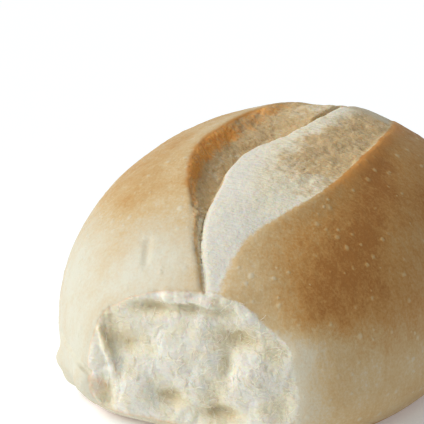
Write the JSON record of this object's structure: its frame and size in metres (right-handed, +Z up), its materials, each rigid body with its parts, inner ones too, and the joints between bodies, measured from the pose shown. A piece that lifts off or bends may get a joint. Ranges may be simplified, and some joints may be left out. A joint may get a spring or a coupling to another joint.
{
  "type": "bread roll",
  "caption": "Short white bread roll with one wide lengthwise slash, baked as one piece, with a torn crumb face at one end and a flat base.",
  "frame": {"origin": "centre of the bounding box, at the level of the flat base", "axes": "+Y along the roll from the torn end to the baked end, +X across it, +Z up"},
  "size_m": [0.088, 0.1094, 0.0523],
  "materials": {
    "baked_crust": "matt baked crust, golden to orange brown on the lips of the slash, with cream crumb in the slash and on the torn face"
  },
  "bodies": {
    "root": {"bread_roll": "baked_crust"}
  },
  "joints": []
}
